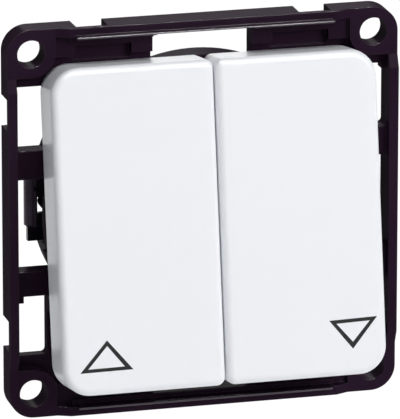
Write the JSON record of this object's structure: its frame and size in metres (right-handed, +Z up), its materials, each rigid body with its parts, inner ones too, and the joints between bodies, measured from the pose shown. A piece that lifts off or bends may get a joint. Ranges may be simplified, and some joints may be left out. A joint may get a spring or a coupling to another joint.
{
  "type": "roller shutter switch",
  "caption": "Flush-mounted roller shutter switch with two tall tilting rockers in a square carrier plate, round-collared base behind it and two spreading claws.",
  "frame": {"origin": "centre of the four corner holes on the wall face of the carrier plate", "axes": "+X to the right, +Z up, -Y out of the wall towards the room, seen from the front"},
  "size_m": [0.071, 0.044, 0.071],
  "materials": {
    "plate_plastic": "glossy moulded plastic, purple black",
    "housing_plastic": "fine matt moulded plastic",
    "rocker_plastic": "glossy white moulded plastic",
    "toggle_plastic": "slippery natural moulded plastic",
    "contact_brass": "stamped and bright",
    "spring_steel": "drawn wire",
    "cage_steel": "zinc plated",
    "zinc_steel": "zinc plated and bright",
    "claw_steel": "stamped, zinc plated, dull"
  },
  "bodies": {
    "carrier": {"carrier_plate": "plate_plastic", "base_housing": "housing_plastic", "base_back": "housing_plastic", "mechanism_cover": "housing_plastic", "cover_screws": "zinc_steel", "line_rail": "contact_brass", "up_contact_rail": "contact_brass", "down_contact_rail": "contact_brass"},
    "up_rocker_body": {"up_rocker": "rocker_plastic", "up_toggle": "toggle_plastic", "up_spring": "spring_steel"},
    "down_rocker_body": {"down_rocker": "rocker_plastic", "down_toggle": "toggle_plastic", "down_spring": "spring_steel"},
    "up_plunger_body": {"up_plunger": "toggle_plastic"},
    "down_plunger_body": {"down_plunger": "toggle_plastic"},
    "up_lever_body": {"up_contact_lever": "contact_brass"},
    "down_lever_body": {"down_contact_lever": "contact_brass"},
    "interlock_body": {"interlock_slider": "toggle_plastic"},
    "line_cage_body": {"line_cage": "cage_steel"},
    "up_cage_body": {"up_cage": "cage_steel"},
    "down_cage_body": {"down_cage": "cage_steel"},
    "line_screw_body": {"line_screw": "zinc_steel"},
    "up_screw_body": {"up_screw": "zinc_steel"},
    "down_screw_body": {"down_screw": "zinc_steel"},
    "left_claw_body": {"left_claw": "claw_steel"},
    "right_claw_body": {"right_claw": "claw_steel"},
    "left_claw_screw_body": {"left_claw_screw": "claw_steel"},
    "right_claw_screw_body": {"right_claw_screw": "claw_steel"}
  },
  "joints": [
    {"name": "up_rocker_tilt", "type": "hinge", "parent": "carrier", "child": "up_rocker_body", "pos_m": [-0.012, -0.00742, 0], "axis": [1, 0, 0], "range_deg": [0, 18]},
    {"name": "up_plunger_slide", "type": "slide", "parent": "up_rocker_body", "child": "up_plunger_body", "axis": [0, -0.9877, 0.1564], "range_m": [0, 0.001], "stiffness_N_per_m": 250, "springref_m": -0.002},
    {"name": "up_lever_tilt", "type": "hinge", "parent": "carrier", "child": "up_lever_body", "pos_m": [-0.012, 0.00563, 0], "axis": [1, 0, 0], "range_deg": [-18, 0]},
    {"name": "down_rocker_tilt", "type": "hinge", "parent": "carrier", "child": "down_rocker_body", "pos_m": [0.012, -0.00742, 0], "axis": [1, 0, 0], "range_deg": [0, 18]},
    {"name": "down_plunger_slide", "type": "slide", "parent": "down_rocker_body", "child": "down_plunger_body", "axis": [0, -0.9877, 0.1564], "range_m": [0, 0.001], "stiffness_N_per_m": 250, "springref_m": -0.002},
    {"name": "down_lever_tilt", "type": "hinge", "parent": "carrier", "child": "down_lever_body", "pos_m": [0.012, 0.00563, 0], "axis": [1, 0, 0], "range_deg": [-18, 0]},
    {"name": "interlock_slide", "type": "slide", "parent": "carrier", "child": "interlock_body", "axis": [1, 0, 0], "range_m": [-0.0006, 0.0006]},
    {"name": "up_screw_turn", "type": "hinge", "parent": "carrier", "child": "up_screw_body", "pos_m": [-0.008, 0.01601, 0.02], "axis": [0, 0, -1], "range_deg": [0, 1368]},
    {"name": "up_cage_slide", "type": "slide", "parent": "carrier", "child": "up_cage_body", "axis": [0, 0, 1], "range_m": [0, 0.0019]},
    {"name": "down_screw_turn", "type": "hinge", "parent": "carrier", "child": "down_screw_body", "pos_m": [0.008, 0.01601, 0.02], "axis": [0, 0, -1], "range_deg": [0, 1368]},
    {"name": "down_cage_slide", "type": "slide", "parent": "carrier", "child": "down_cage_body", "axis": [0, 0, 1], "range_m": [0, 0.0019]},
    {"name": "line_screw_turn", "type": "hinge", "parent": "carrier", "child": "line_screw_body", "pos_m": [0, 0.01601, -0.02], "axis": [0, 0, 1], "range_deg": [0, 1368]},
    {"name": "line_cage_slide", "type": "slide", "parent": "carrier", "child": "line_cage_body", "axis": [0, 0, -1], "range_m": [0, 0.0019]},
    {"name": "left_claw_screw_turn", "type": "hinge", "parent": "carrier", "child": "left_claw_screw_body", "pos_m": [-0.0252, 0, 0], "axis": [0, 1, 0], "range_deg": [0, 900]},
    {"name": "left_claw_swing", "type": "hinge", "parent": "carrier", "child": "left_claw_body", "pos_m": [-0.0224, 0.0082, 0], "axis": [0, 0, 1], "range_deg": [0, 24]},
    {"name": "right_claw_screw_turn", "type": "hinge", "parent": "carrier", "child": "right_claw_screw_body", "pos_m": [0.0252, 0, 0], "axis": [0, 1, 0], "range_deg": [0, 900]},
    {"name": "right_claw_swing", "type": "hinge", "parent": "carrier", "child": "right_claw_body", "pos_m": [0.0224, 0.0082, 0], "axis": [0, 0, -1], "range_deg": [0, 24]}
  ],
  "couplings": [
    {"joint": "up_lever_tilt", "follows": "up_rocker_tilt", "ratio": -1},
    {"joint": "down_lever_tilt", "follows": "down_rocker_tilt", "ratio": -1},
    {"joint": "up_screw_turn", "follows": "up_cage_slide", "rad_per_m": 12566},
    {"joint": "down_screw_turn", "follows": "down_cage_slide", "rad_per_m": 12566},
    {"joint": "line_screw_turn", "follows": "line_cage_slide", "rad_per_m": 12566},
    {"joint": "left_claw_screw_turn", "follows": "left_claw_swing", "ratio": 37.5},
    {"joint": "right_claw_screw_turn", "follows": "right_claw_swing", "ratio": 37.5}
  ]
}
